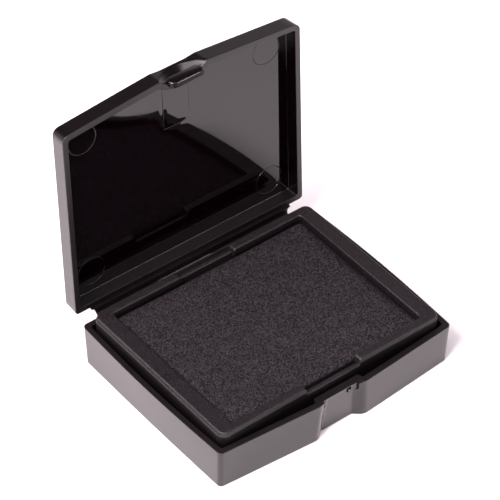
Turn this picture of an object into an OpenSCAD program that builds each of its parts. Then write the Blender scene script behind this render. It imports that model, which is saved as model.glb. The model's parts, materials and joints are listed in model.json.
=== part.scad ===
// Ink pad in a hinged plastic case.
// The case stands on z = 0 with its lid open. The hinge is at the back, +Y,
// and the thumb latch at the front, -Y. The origin is under the case's middle.

/* [Case] */
// Width of the case between its corners
case_w = 86; // [82:0.5:90]
// Depth of the case between its corners
case_d = 67; // [65:0.5:70]
// Height of the base, from the table to its rim
base_h = 14.7; // [14:0.1:17]
// Height of the lid above the base's rim
lid_h = 6.2; // [6:0.1:8]
// Thickness of the walls
wall = 1.85; // [1.5:0.05:1.9]
// Thickness of the floor and of the lid's panel
skin = 1.6; // [1.2:0.1:1.8]
// How far the base's side walls bow out at their middle
side_bow = 1.1; // [0.5:0.1:1.5]
// How far the base's front stands out beside the thumb recess
base_prow = 2.6; // [2.4:0.1:3]
// How far the lid's front stands out beside the thumb recess
lid_prow = 3.1; // [2.8:0.1:3.4]

/* [Hinge] */
// Angle of the lid from closed
open_angle = 92.2; // [0:0.1:180]
// Distance of the hinge line behind the back wall
hinge_out = 2.3; // [2:0.1:3]
// Distance of the hinge line below the base's rim
hinge_drop = 0.8; // [0.7:0.1:1]
// Width of the hinge's two leaves
hinge_w = 73; // [60:1:76]
// Radius of the thin film that joins the leaves
film_r = 0.2; // [0.15:0.05:0.25]

/* [Latch] */
// Half width of the flat of the thumb recess
recess_half_w = 4.7; // [4:0.1:6]
// Depth of the thumb recess below the front's shoulders
recess_depth = 1.6; // [1:0.1:1.8]
// Width of the tab that the thumb lifts
tab_w = 12.5; // [11:0.1:12.5]
// Thickness of the tab, front to back
tab_t = 1.4; // [1.2:0.1:1.4]
// How far the closed tab hangs below the base's rim
tab_hang = 2.95; // [2:0.05:3]
// Radius of the ball that the thumb scoop is cut with
scoop_r = 14; // [12:0.5:16]

/* [Insert] */
// Width of the insert's frame across its top
insert_w = 80.8; // [79:0.2:81]
// Depth of the insert's frame
insert_d = 62.6; // [61:0.1:62.7]
// Height of the insert's frame above the base's rim
insert_proud = 4.2; // [3:0.1:4.3]
// Width of the window over the pad
window_w = 70.8; // [66:0.2:71]
// Depth of the window over the pad
window_d = 57; // [54:0.2:57.2]
// How far the pad lies below the top of the frame
pad_drop = 2.1; // [1.5:0.1:2.5]
// Half width of the notches in the front and back rims
notch_half_w = 9.9; // [8:0.1:11]
// How far the bar in each notch lies below the frame's top
notch_drop = 2; // [1.5:0.1:2.4]
// Thickness of the felt that holds the ink
felt_h = 8; // [6:0.5:8]

/* [Hidden] */

plastic = "#1b181b";
inner_plastic = "#141215";
felt_black = "#0b0a0c";
foam_black = "#101013";

arc_step = 15;             // degrees in one straight piece of a rounded corner
bow_steps = 12;            // straight pieces in one bowed side
slit = 0.1;                // gap between the base's rim and the closed lid's
over = 1;                  // how far a cut runs past the solid that it cuts

half_w = case_w / 2;
half_d = case_d / 2;
lid_top = base_h + lid_h;
lid_rim = base_h + slit;
axis_y = half_d + hinge_out;
axis_z = base_h - hinge_drop;

base_corner_r = 1.5;
lid_corner_r = 2.5;
shoulder_r = 3;            // rounding beside the thumb recess
shoulder_x = 8.2;          // where the front and the recess's return would meet
recess_y = -half_d - base_prow + recess_depth;
lid_recess_depth = 0.4;
recess_wall = 2.3;         // thickness of the front wall behind the recess
prow_wall = 2.1;           // thickness of the front wall beside the recess
jog_x = 8.8;               // where the front wall's inner face steps in

leaf_gap = 0.3;            // gap between the two leaves when the lid is shut
leaf_t = 1.15;             // thickness of the base's leaf
lid_leaf_top = 1.75;       // height of the lid's leaf above the hinge line
leaf_end = 0.45;           // distance of the leaves' edges from the hinge line
leaf_fillet = 1.3;

ledge_drop = 0.4;          // step in the rim that the root of the closed tab lies over
ledge_y = recess_y + 1.3;
ledge_half_w = 7.35;
root_z = base_h - 0.2;     // underside of the tab's root when the lid is shut
root_back = recess_y + 1.15;
tab_gap = 0.15;            // gap between the closed tab and the recess
tab_front = recess_y - tab_gap - tab_t;
tab_low = base_h - tab_hang;
tab_top = base_h + 1.9;
tab_end_r = 2.3;
tab_toe = 1.4;             // slope at the tab's lower front edge
pocket_x = 5.4;            // middle of the pockets that clear the ends of the tab
pocket_w = 2.1;
pocket_h = 2.9;
scoop_mouth_r = 9.3;       // radius of the scoop where it breaks the front
scoop_z = base_h - 4.2;    // height of the scoop's centre when the lid is shut
boss_t = 1.7;              // thickness of the wall behind the scoop
boss_half_w = 7.4;

tray_z = 3.2;              // underside of the insert
tray_wall = 1.2;
tray_floor = 1.1;
tray_top = 14.2;
tray_gap = 0.15;           // clearance between the tray and the frame's skirt
skirt_t = 1.4;
skirt_bottom = 10;
frame_top = base_h + insert_proud;
plate_t = 1.6;
bead_out = 0.4;            // step round the frame, just below its top
bead_drop = 0.9;
lip_t = 1.1;               // wall that runs down round the window
lip_gap = 0.15;
insert_y = 0.05;           // middle of the insert, front to back
insert_corner_r = 2.4;
window_corner_r = 0.8;
pad_top = frame_top - pad_drop;
pad_lip_z = pad_top - 1.2; // underside of the window's lip, over the pad's flange
felt_z = tray_z + tray_floor;
rib_t = 1.2;
rib_l = 40;
rib_count = 5;
rib_pitch = 15;

function unit(v) = v / norm(v);

// One corner [x, y, r] of an outline, as a point or as the points of its arc
function corner(before, at, after) =
    let (p = [at.x, at.y], r = at[2])
    r == 0 ? [p] :
    let (
        u = unit([before.x, before.y] - p),
        v = unit([after.x, after.y] - p),
        half = acos(u * v) / 2,
        middle = p + unit(u + v) * r / sin(half),
        start = p + u * r / tan(half) - middle,
        first = atan2(start.y, start.x),
        sweep = -sign(cross(u, v)) * (180 - 2 * half),
        steps = max(2, ceil(abs(sweep) / arc_step))
    )
    [for (i = [0:steps]) middle + r * [cos(first + sweep * i / steps), sin(first + sweep * i / steps)]];

// An outline from its corners, in order, each rounded by its own radius
function rounded(corners) =
    let (n = len(corners))
    [for (i = [0:n - 1], p = corner(corners[(i + n - 1) % n], corners[i], corners[(i + 1) % n])) p];

// The right half of an outline, front to back, and its mirror image
function both_halves(right) =
    let (n = len(right))
    concat(right, [for (i = [n - 1:-1:0]) [-right[i].x, right[i].y, right[i][2]]]);

// Points of a bowed right side, front to back, between its two corners
function bowed_side(x, y_front, y_back, bow) =
    [for (i = [1:bow_steps - 1])
        let (t = i / bow_steps)
        [x + bow * sin(180 * t), y_front + (y_back - y_front) * t, 0]];

// Outline of the base or the lid: x and y of its corners, then its front
function case_outline(x, y, prow, recess, bow, r) =
    rounded(both_halves(concat(
        [[recess_half_w, -y - prow + recess, 0.3],
         [shoulder_x, -y - prow, shoulder_r],
         [x, -y, r]],
        bowed_side(x, -y, y, bow),
        [[x, y, r]]
    )));

function base_outer() =
    case_outline(half_w, half_d, base_prow, recess_depth, side_bow, base_corner_r);

function base_inner() =
    rounded(both_halves(concat(
        [[jog_x - 0.5, recess_y + recess_wall, 0],
         [jog_x, -half_d - base_prow + prow_wall, 0.3],
         [half_w - wall, -half_d + wall, 0.8]],
        bowed_side(half_w - wall, -half_d + wall, half_d - wall, side_bow),
        [[half_w - wall, half_d - wall, 0.8]]
    )));

function lid_outer() =
    case_outline(half_w, half_d, lid_prow, lid_recess_depth, 0, lid_corner_r);

function lid_inner() =
    rounded(both_halves([
        [jog_x, -half_d - lid_prow + prow_wall, 0.3],
        [half_w - wall, -half_d + wall, 0.8],
        [half_w - wall, half_d - wall, 0.8]
    ]));

function round_box(w, d, r) =
    rounded([[w / 2, -d / 2, r], [w / 2, d / 2, r], [-w / 2, d / 2, r], [-w / 2, -d / 2, r]]);

module block(low, high) {
    translate(low) cube(high - low);
}

module both_sides() {
    children();
    mirror([1, 0, 0]) children();
}

// Turns what is drawn with the lid shut to where the open lid has it
module opened() {
    translate([0, axis_y, axis_z])
        rotate([-open_angle, 0, 0])
            translate([0, -axis_y, -axis_z]) children();
}

module case_base() {
    color(plastic) difference() {
        linear_extrude(base_h) polygon(base_outer());
        translate([0, 0, skin]) linear_extrude(base_h) polygon(base_inner());
        block([-ledge_half_w, -half_d - base_prow - over, base_h - ledge_drop],
              [ledge_half_w, ledge_y, base_h + over]);
        both_sides()
            block([pocket_x - pocket_w / 2, recess_y - 1.1, base_h - pocket_h],
                  [pocket_x + pocket_w / 2, recess_y, base_h + over]);
    }
}

// One leaf in plan: it spreads in a fillet where it leaves the back wall
module leaf_plan() {
    w = hinge_w / 2;
    y = half_d;
    difference() {
        translate([-w - leaf_fillet, y])
            square([2 * (w + leaf_fillet), hinge_out - leaf_end]);
        for (side = [-1, 1]) {
            translate([side * (w + leaf_fillet), y + leaf_fillet]) circle(r = leaf_fillet, $fn = 48);
            translate([side * (w + leaf_fillet) - leaf_fillet, y + leaf_fillet])
                square([2 * leaf_fillet, hinge_out]);
        }
    }
}

module base_hinge_leaf() {
    color(plastic)
        translate([0, 0, axis_z - leaf_gap / 2 - leaf_t])
            linear_extrude(leaf_t) leaf_plan();
}

// Below the lid's rim this leaf stands clear of the base's back wall
module lid_hinge_leaf() {
    color(plastic) opened() difference() {
        translate([0, 0, axis_z + leaf_gap / 2])
            linear_extrude(lid_leaf_top - leaf_gap / 2) leaf_plan();
        block([-half_w, half_d - over, axis_z - over], [half_w, half_d + leaf_gap, lid_rim]);
    }
}

module hinge_film() {
    color(plastic) union() {
        translate([-hinge_w / 2, axis_y, axis_z]) rotate([0, 90, 0])
            cylinder(r = film_r, h = hinge_w, $fn = 32);
        block([-hinge_w / 2, axis_y - leaf_end, axis_z - leaf_gap / 2 - film_r],
              [hinge_w / 2, axis_y, axis_z - leaf_gap / 2]);
    }
}

// Low ribs on the floor that carry the insert
module insert_ribs() {
    color(plastic)
        for (i = [0:rib_count - 1])
            translate([(i - (rib_count - 1) / 2) * rib_pitch, insert_y, skin + (tray_z - skin) / 2])
                cube([rib_t, rib_l, tray_z - skin], center = true);
}

function tray_w() = insert_w - 2 * (skirt_t + tray_gap);
function tray_d() = insert_d - 2 * (skirt_t + tray_gap);

module insert_tray() {
    color(inner_plastic) translate([0, insert_y, tray_z]) difference() {
        linear_extrude(tray_top - tray_z) polygon(round_box(tray_w(), tray_d(), 1.2));
        translate([0, 0, tray_floor]) linear_extrude(tray_top)
            polygon(round_box(tray_w() - 2 * tray_wall, tray_d() - 2 * tray_wall, 0.6));
    }
}

module ink_felt() {
    color(felt_black) translate([0, insert_y, felt_z])
        linear_extrude(felt_h)
            polygon(round_box(tray_w() - 2 * tray_wall - 0.6, tray_d() - 2 * tray_wall - 0.6, 0.6));
}

// The pad is a sheet with a flange that lies under the window's lip
module foam_pad() {
    color(foam_black) translate([0, insert_y, 0]) union() {
        translate([0, 0, felt_z + felt_h])
            linear_extrude(pad_lip_z - lip_gap - felt_z - felt_h)
                polygon(round_box(window_w + 2, window_d - 0.4, 1));
        translate([0, 0, felt_z + felt_h])
            linear_extrude(pad_top - felt_z - felt_h)
                polygon(round_box(window_w - 0.4, window_d - 0.4, window_corner_r));
    }
}

module insert_frame() {
    color(plastic) translate([0, insert_y, 0]) difference() {
        union() {
            translate([0, 0, frame_top - plate_t])
                linear_extrude(plate_t)
                    polygon(round_box(insert_w, insert_d, insert_corner_r));
            translate([0, 0, skirt_bottom])
                linear_extrude(frame_top - bead_drop - skirt_bottom)
                    polygon(round_box(insert_w + 2 * bead_out, insert_d, insert_corner_r));
        }
        translate([0, 0, skirt_bottom - over])
            linear_extrude(frame_top - plate_t - skirt_bottom + over)
                difference() {
                    polygon(round_box(insert_w - 2 * skirt_t, insert_d - 2 * skirt_t, 1.2));
                    polygon(round_box(window_w + 2 * lip_t, window_d + 2 * lip_t, 1));
                }
        translate([0, 0, skirt_bottom - over])
            linear_extrude(pad_lip_z - skirt_bottom + over)
                polygon(round_box(insert_w - 2 * skirt_t, insert_d - 2 * skirt_t, 1.2));
        translate([0, 0, skirt_bottom])
            linear_extrude(frame_top)
                polygon(round_box(window_w, window_d, window_corner_r));
        for (end = [-1, 1]) {
            translate([-notch_half_w, end < 0 ? -insert_d / 2 - over : window_d / 2 - over,
                       frame_top - notch_drop])
                cube([2 * notch_half_w, insert_d / 2 - window_d / 2 + 2 * over, notch_drop + over]);
            translate([-notch_half_w, end < 0 ? -insert_d / 2 + skirt_t : window_d / 2 - over,
                       skirt_bottom])
                cube([2 * notch_half_w, insert_d / 2 - window_d / 2 - skirt_t + over, frame_top]);
        }
    }
}

module scoop(extra) {
    away = sqrt(pow(scoop_r, 2) - pow(scoop_mouth_r, 2));
    translate([0, -half_d - lid_prow + lid_recess_depth - away, scoop_z])
        sphere(r = scoop_r + extra, $fn = 96);
}

module case_lid() {
    color(plastic) opened() difference() {
        union() {
            difference() {
                translate([0, 0, lid_rim]) linear_extrude(lid_top - lid_rim) polygon(lid_outer());
                translate([0, 0, lid_rim - over])
                    linear_extrude(lid_top - skin - lid_rim + over) polygon(lid_inner());
            }
            intersection() {
                scoop(boss_t);
                block([-boss_half_w - 3, -half_d - lid_prow + lid_recess_depth, lid_rim],
                      [boss_half_w + 3, 0, lid_top]);
            }
        }
        scoop(0);
        block([-tab_w / 2 - 0.3, tab_front - over, lid_rim - over],
              [tab_w / 2 + 0.3, root_back, tab_top + 0.3]);
    }
}

// The tab across the scoop, which hangs before the base's recess, and its root over the step
module lid_latch_bar() {
    w = tab_w / 2;
    color(plastic) opened() union() {
        intersection() {
            translate([0, tab_front + tab_t, 0]) rotate([90, 0, 0]) linear_extrude(tab_t)
                polygon(rounded([
                    [-w, tab_low, tab_end_r], [w, tab_low, tab_end_r], [w, tab_top, 0.5], [-w, tab_top, 0.5]
                ]));
            translate([-tab_w, 0, 0]) rotate([90, 0, 90]) linear_extrude(2 * tab_w)
                polygon([
                    [tab_front, tab_low + tab_toe], [tab_front + tab_t - 0.35, tab_low],
                    [tab_front + tab_t + over, tab_low], [tab_front + tab_t + over, tab_top + over],
                    [tab_front, tab_top + over]
                ]);
        }
        block([-w, tab_front + tab_t - 0.2, root_z], [w, root_back, tab_top]);
    }
}

case_base();
base_hinge_leaf();
insert_ribs();
hinge_film();
insert_tray();
ink_felt();
foam_pad();
insert_frame();
case_lid();
lid_hinge_leaf();
lid_latch_bar();
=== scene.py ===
"""Ink pad in a hinged plastic case: its finished surfaces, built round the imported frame."""

import json
import math
from types import SimpleNamespace

import bmesh
import bpy
import numpy as np
from bpy.props import FloatProperty, FloatVectorProperty, IntProperty, PointerProperty
from mathutils import Matrix, Vector


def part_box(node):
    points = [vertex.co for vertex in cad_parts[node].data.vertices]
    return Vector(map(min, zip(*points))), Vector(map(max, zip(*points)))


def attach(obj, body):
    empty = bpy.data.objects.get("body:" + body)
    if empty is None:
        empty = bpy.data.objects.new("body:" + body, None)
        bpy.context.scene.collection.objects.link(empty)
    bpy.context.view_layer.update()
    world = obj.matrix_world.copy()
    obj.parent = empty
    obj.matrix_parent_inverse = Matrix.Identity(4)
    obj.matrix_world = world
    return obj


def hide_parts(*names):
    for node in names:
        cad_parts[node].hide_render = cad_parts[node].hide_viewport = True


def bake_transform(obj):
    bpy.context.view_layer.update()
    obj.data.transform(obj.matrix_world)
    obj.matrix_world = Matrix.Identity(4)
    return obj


bl_info = {
    "name": "Ink Pad",
    "version": (1, 0, 0),
    "blender": (4, 5, 0),
    "location": "View3D > Sidebar > Ink Pad",
    "description": "Builds an ink pad in its hinged case, with its studio",
    "category": "Object",
}

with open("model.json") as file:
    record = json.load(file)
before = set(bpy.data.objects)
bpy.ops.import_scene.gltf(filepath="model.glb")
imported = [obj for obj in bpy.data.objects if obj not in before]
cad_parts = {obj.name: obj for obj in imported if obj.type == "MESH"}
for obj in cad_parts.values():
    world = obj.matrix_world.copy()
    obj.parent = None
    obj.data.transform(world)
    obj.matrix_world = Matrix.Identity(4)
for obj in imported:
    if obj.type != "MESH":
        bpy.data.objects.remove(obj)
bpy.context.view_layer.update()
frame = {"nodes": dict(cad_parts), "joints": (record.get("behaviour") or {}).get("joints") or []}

MM = 0.001
ARC_STEPS = 6              # straight pieces in the arc of a corner, seen from above
FAR_STEPS = 14             # steps along a front or back between its middle and a corner
SIDE_STEPS = 16            # steps along a bowed side
FILLET_STEPS = 4           # straight pieces in the rounding of an edge
MERGE = 0.0005             # points nearer than this, in millimetres, become one
SMOOTH_BELOW = math.radians(38)


# ---------------------------------------------------------------- sizes from the frame

def points_of(mesh):
    """A mesh's points, in its own units."""
    return np.array([v.co for v in mesh.vertices], float)


def cad_box(node):
    """Lowest and highest corner of a CAD node, in millimetres."""
    low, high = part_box(node)
    return np.array(low) / MM, np.array(high) / MM


def hinge_line():
    """The lid hinge's y and z in millimetres, and the angle from shut to rest in radians."""
    joint = next(j for j in frame["joints"] if j["name"] == "lid_hinge")
    _, y, z = joint["pos_m"]
    return y / MM, z / MM, math.radians(-joint["range_deg"][0])


def opened(points):
    """Turns points of the shut lid to where the open lid has them."""
    y0, z0, angle = hinge_line()
    turned = np.array(points, float)
    y, z = turned[..., 1] - y0, turned[..., 2] - z0
    turned[..., 1] = y0 + y * math.cos(angle) + z * math.sin(angle)
    turned[..., 2] = z0 - y * math.sin(angle) + z * math.cos(angle)
    return turned


def shut(points):
    """Turns points of the open lid to where the shut lid has them."""
    y0, z0, angle = hinge_line()
    turned = np.array(points, float)
    y, z = turned[..., 1] - y0, turned[..., 2] - z0
    turned[..., 1] = y0 + y * math.cos(angle) - z * math.sin(angle)
    turned[..., 2] = z0 + y * math.sin(angle) + z * math.cos(angle)
    return turned


def shut_box(node):
    """Lowest and highest corner of a CAD node of the lid when it is shut, in millimetres."""
    points = shut(points_of(frame["nodes"][node].data) / MM)
    return points.min(0), points.max(0)


# ---------------------------------------------------------------- settings

def length(name, description, millimetres):
    return FloatProperty(name=name, description=description, default=millimetres * MM,
                         min=0.0, unit="LENGTH", precision=5)


def colour(name, description, red, green, blue):
    return FloatVectorProperty(name=name, description=description, default=(red, green, blue),
                               size=3, min=0.0, max=1.0, subtype="COLOR")


def share(name, description, value):
    return FloatProperty(name=name, description=description, default=value,
                         min=0.0, max=1.0, subtype="FACTOR")


def power(name, description, watts):
    return FloatProperty(name=name, description=description, default=watts, min=0.0,
                         unit="POWER")


def angle(name, description, radians):
    return FloatProperty(name=name, description=description, default=radians,
                         subtype="ANGLE", unit="ROTATION")


def offset(name, description, metres):
    return FloatProperty(name=name, description=description, default=metres,
                         unit="LENGTH", precision=5)


class InkPadCase(bpy.types.PropertyGroup):
    """Sizes of the case's two shells."""

    wall: length("Wall", "Thickness of the side and back walls", 1.85)
    skin: length("Skin", "Thickness of the floor and of the lid's panel", 1.6)
    front_wall: length("Front wall", "Thickness of the front wall beside the recess", 2.1)
    recess_wall: length("Recess wall", "Thickness of the front wall behind the recess", 2.3)
    side_bow: length("Side bow", "How far the base's sides bow out at their middle", 0.9)
    draft: length("Draft", "How much narrower the base is at its foot, on each side", 0.35)
    front_draft: length("Front draft", "How far the base's foot stands back at the front", 0.75)
    lid_draft: length("Lid draft", "How much narrower the lid is at its panel, on each side", 0.3)
    corner: length("Base corner", "Radius of the base's corners", 1.5)
    lid_corner: length("Lid corner", "Radius of the lid's corners", 2.5)
    lid_back_corner: length("Lid back corner", "Radius of the lid's corners at the hinge", 1.1)
    foot_edge: length("Foot edge", "Rounding of the base's bottom edge", 0.5)
    rim_edge: length("Rim edge", "Rounding of the rims' edges", 0.12)
    panel_edge: length("Panel edge", "Rounding of the lid's top edge", 0.9)
    recess_half: length("Recess", "Half width of the flat of the thumb recess", 4.7)
    recess_depth: length("Recess depth", "Depth of the thumb recess at the rim", 1.6)
    recess_lean: length("Recess lean", "How much deeper the recess is at its foot", 0.8)
    shoulder: length("Shoulder", "Distance of the shoulders from the middle", 8.2)
    shoulder_edge: length("Shoulder edge", "Rounding of the shoulders", 3.0)
    scoop: length("Scoop", "Radius of the ball that shapes the thumb scoop", 14.0)
    scoop_mouth: length("Scoop mouth", "Radius of the scoop where it breaks the front", 9.3)
    scoop_drop: length("Scoop drop", "Height of the base's rim above the scoop's centre", 4.2)
    boss: length("Scoop wall", "Thickness of the wall behind the scoop", 1.7)
    base_prow: length("Base prow", "How far the base's front stands before its corners", 2.6)
    lid_prow: length("Lid prow", "How far the lid's front stands before its corners", 3.1)
    lid_recess: length("Lid recess", "Depth of the recess in the lid's front", 0.4)
    leaf_spread: length("Leaf spread", "Fillet of the hinge's leaves where they meet a wall", 1.3)
    web: length("Web", "Thickness of the web between the hinge's leaves", 0.35)
    tab: length("Tab", "Thickness of the latch's tab", 1.4)
    tab_round: length("Tab rounding", "Depth of the slope at the tab's toe", 1.2)
    tab_toe: length("Tab toe", "Height of the slope at the tab's toe", 0.6)
    tab_drop: length("Tab drop", "How far the tab's top stays below its CAD solid's", 0.6)
    mark: length("Ejector mark", "Radius of the rings inside the lid", 4.9)
    mark_side: length("Mark side", "Distance of the rings from the middle, sideways", 33.55)
    mark_front: length("Mark front", "Distance of the front rings from the middle", 25.4)
    mark_back: length("Mark back", "Distance of the back rings from the middle", 24.3)
    witness: length("Witness line", "Distance of the witness lines from the middle", 4.75)
    witness_back: length("Witness end", "Distance of the witness lines' end from the middle", 14.6)


class InkPadInsert(bpy.types.PropertyGroup):
    """Sizes of the insert and its pad."""

    top_edge: length("Top edge", "Rounding of the frame's outer top edge", 0.4)
    window_edge: length("Window edge", "Rounding of the window's top edge", 0.45)
    notch_half: length("Notch", "Half width of the finger notches", 9.9)
    notch_drop: length("Notch drop", "Depth of the finger notches", 2.0)
    notch_round: length("Notch rounding", "Rounding of the rims' ends at a notch", 0.9)
    skirt: length("Skirt", "Thickness of the frame's skirt", 1.4)
    bead: length("Bead", "How far the bead round the frame stands out", 0.4)
    outer_corner: length("Frame corner", "Radius of the frame's corners", 2.4)
    window_half: length("Window", "Half width of the window over the pad", 35.4)
    window_depth: length("Window depth", "The window's length, front to back", 57.0)
    window_corner: length("Window corner", "Radius of the window's corners", 0.8)
    felt_voxel: length("Felt mesh", "Size of the felt's mesh before it is inflated", 1.3)
    pad_voxel: length("Pad mesh", "Size of the pad's mesh before it is inflated", 0.9)
    pad_swell: length("Pad swell", "Most that the pad's surface may swell", 0.35)
    grain: length("Foam grain", "Size of the foam's grains", 0.16)
    grains: IntProperty(name="Grains", description="Number of grains on the pad's top",
                        default=5200, min=0, max=20000)


class InkPadFinish(bpy.types.PropertyGroup):
    """Colours and roughness of the finishes."""

    plastic: colour("Plastic", "Moulded black plastic", 0.0011, 0.0002, 0.0006)
    insert: colour("Insert plastic", "Black plastic of the insert", 0.0058, 0.0038, 0.005)
    foam: colour("Foam", "Inked foam", 0.0105, 0.0085, 0.0103)
    # The felt's colour is also the painted shade in the base's pit and on the pad's sides.
    felt: colour("Felt", "Ink-soaked felt", 0.0014, 0.0009, 0.0012)
    floor: colour("Floor", "Pale studio floor", 0.82, 0.815, 0.81)
    satin: share("Satin", "Roughness of the case's outside", 0.22)
    polish: share("Polish", "Roughness of the lid's inside", 0.03)
    texture: share("Texture", "Roughness of the insert's textured top", 0.5)


class InkPadStage(bpy.types.PropertyGroup):
    """The studio's lights and camera."""

    key: power("Key light", "Power of the light on the left", 27.0)
    top: power("Top light", "Power of the light overhead", 11.0)
    side: power("Side light", "Power of the light beside the hinge", 3.8)
    glint: power("Glint light", "Power of the light that edges catch", 2.5)
    room: FloatProperty(name="Room", description="Strength of the room's own light",
                        default=1.3, min=0.0)
    turn: angle("Turn", "The camera's turn about the vertical", math.radians(-38.134))
    tilt: angle("Tilt", "How far the camera looks down", math.radians(42.535))
    lens: FloatProperty(name="Lens", description="The camera's focal length in millimetres",
                        default=218.95, min=1.0)
    away: offset("Distance", "The camera's distance", 0.9107)
    roll: angle("Roll", "The camera's turn about its own axis", 0.00315)
    aside: offset("Aside", "How far the camera stands to the left", 0.00504)
    above: offset("Above", "How far the camera is raised", 0.03313)


def in_mm(group):
    """The lengths of a group of settings in millimetres, its other values as they are."""
    values = {}
    for key, definition in group.bl_rna.properties.items():
        if getattr(definition, "unit", "NONE") == "LENGTH":
            values[key] = getattr(group, key) / MM
        elif key not in ("rna_type", "name"):
            values[key] = getattr(group, key)
    return SimpleNamespace(**values)


# ---------------------------------------------------------------- outlines and skins

def unit(vector):
    return vector / np.linalg.norm(vector)


def corner_arc(before, at, after, radius, steps=ARC_STEPS):
    """Points of the arc that rounds one corner of an outline."""
    before, at, after = (np.array(p, float) for p in (before, at, after))
    u, v = unit(before - at), unit(after - at)
    half = math.acos(np.clip(u @ v, -1, 1)) / 2
    middle = at + unit(u + v) * radius / math.sin(half)
    start = at + u * radius / math.tan(half) - middle
    end = at + v * radius / math.tan(half) - middle
    first = math.atan2(start[1], start[0])
    sweep = math.remainder(math.atan2(end[1], end[0]) - first, math.tau)
    turns = first + sweep * np.linspace(0, 1, steps + 1)
    return middle + radius * np.stack([np.cos(turns), np.sin(turns)], 1)


def rounded_path(corners, steps=ARC_STEPS):
    """A closed outline through corners [x, y, radius], each rounded by its radius."""
    points = []
    for i, (x, y, radius) in enumerate(corners):
        if radius:
            before, after = corners[i - 1][:2], corners[(i + 1) % len(corners)][:2]
            points += list(corner_arc(before, (x, y), after, radius, steps))
        else:
            points.append((x, y))
    return np.array(points)


def rectangle(low, high, radius):
    """Corners [x, y, radius] of a rectangle, counterclockwise from its lowest."""
    return [(low[0], low[1], radius), (high[0], low[1], radius),
            (high[0], high[1], radius), (low[0], high[1], radius)]


def front_line(corners, end):
    """A front face from its middle to the case's corner; corners [x, y, radius] are rounded."""
    spots = [(0.0, (corners or [end])[0][1])] + [c[:2] for c in corners] + [end]
    path = [np.array(spots[:1], float)]
    for i, (x, y, radius) in enumerate(corners):
        path.append(corner_arc(spots[i], (x, y), spots[i + 2], radius))
    path.append(np.array([end], float))
    return np.concatenate(path)


def half_ring(front, corner, back, radius, near, bow=0.0, back_radius=None):
    """The right half of an outline: front, corner, bowed side, corner and back.

    near holds the x at which the front and back are sampled round their middles.
    """
    def side(t):
        x = corner[0] + (back[0] - corner[0]) * t + bow * math.sin(math.pi * t)
        return (x, corner[1] + (back[1] - corner[1]) * t)

    def across(end):
        return np.concatenate([near, np.linspace(near[-1], end, FAR_STEPS + 1)[1:-1]])

    first = corner_arc(front[-2], corner, side(1 / SIDE_STEPS), radius)
    last = corner_arc(side(1 - 1 / SIDE_STEPS), back, (0, back[1]), back_radius or radius)
    front_x, back_x = across(first[0][0]), across(last[-1][0])[::-1]
    margin = 1.2 * radius / abs(back[1] - corner[1])
    sides = [side(t) for t in np.linspace(margin, 1 - margin, SIDE_STEPS)]
    return np.concatenate([
        np.stack([front_x, np.interp(front_x, front[:, 0], front[:, 1])], 1),
        first, np.array(sides), last,
        np.stack([back_x, np.full(len(back_x), back[1])], 1),
    ])


def whole_ring(half):
    """A half outline and its mirror image, counterclockwise from the middle of the front."""
    return np.concatenate([half, half[-2:0:-1] * [-1, 1]])


def inset_ring(ring, distance):
    """An outline moved inwards by a small distance."""
    along = np.roll(ring, -1, 0) - np.roll(ring, 1, 0)
    inward = np.stack([-along[:, 1], along[:, 0]], 1)
    return ring + distance * inward / np.linalg.norm(inward, axis=1, keepdims=True)


def lift(ring, z):
    """A flat outline at a height."""
    return np.concatenate([ring, np.full((len(ring), 1), z)], 1)


def fillet(radius, steps=FILLET_STEPS):
    """Inset and rise of the points that round an edge, from the wall to the flat."""
    turns = np.linspace(0, math.pi / 2, steps + 1)
    return [(radius * (1 - math.cos(a)), radius * math.sin(a)) for a in turns]


def blend_max(a, b, width):
    """The larger of two fields, with the crease between them rounded over about width."""
    overlap = np.clip(1 - np.abs(a - b) / width, 0, 1)
    return np.maximum(a, b) + overlap ** 2 * width / 4


def smooth_step(x):
    x = np.clip(x, 0, 1)
    return x * x * (3 - 2 * x)


def placed(name, data):
    """A new object in the scene, at the origin."""
    piece = bpy.data.objects.new(name, data)
    bpy.context.scene.collection.objects.link(piece)
    return piece


def new_object(name, vertices, faces, edges=()):
    """An object of a mesh given in millimetres, with its place in its mesh."""
    mesh = bpy.data.meshes.new(name)
    mesh.from_pydata([tuple(v) for v in np.array(vertices, float) * MM], edges, faces)
    mesh.validate()
    return placed(name, mesh)


def move_points(piece, points):
    """Moves a piece's points to the places given, in metres."""
    for vertex, point in zip(piece.data.vertices, points):
        vertex.co = point
    return piece


def turned_open(piece):
    """Turns a piece of the shut lid to where the open lid has it."""
    return move_points(piece, opened(points_of(piece.data) / MM) * MM)


def skin_faces(count, size, loop):
    """Quads between neighbouring rings of the same size."""
    faces = []
    for k in range(count if loop else count - 1):
        a, b = k * size, (k + 1) % count * size
        faces += [(a + i, a + (i + 1) % size, b + (i + 1) % size, b + i) for i in range(size)]
    return faces


def skinned(name, rings, loop=False):
    """A closed object skinned over rings; ends that don't meet are capped."""
    size = len(rings[0])
    faces = skin_faces(len(rings), size, loop)
    if not loop:
        faces.append(tuple(reversed(range(size))))
        faces.append(tuple(range((len(rings) - 1) * size, len(rings) * size)))
    return new_object(name, np.concatenate(rings), faces)


def finish_mesh(piece):
    """Merges doubles, points the normals outwards and keeps only the sharp edges sharp."""
    shape = bmesh.new()
    shape.from_mesh(piece.data)
    bmesh.ops.remove_doubles(shape, verts=shape.verts, dist=MERGE * MM)
    bmesh.ops.dissolve_degenerate(shape, edges=shape.edges, dist=MERGE * MM)
    bmesh.ops.recalc_face_normals(shape, faces=shape.faces)
    shape.to_mesh(piece.data)
    shape.free()
    piece.data.shade_smooth()
    piece.data.set_sharp_from_angle(angle=SMOOTH_BELOW)
    return piece


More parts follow.
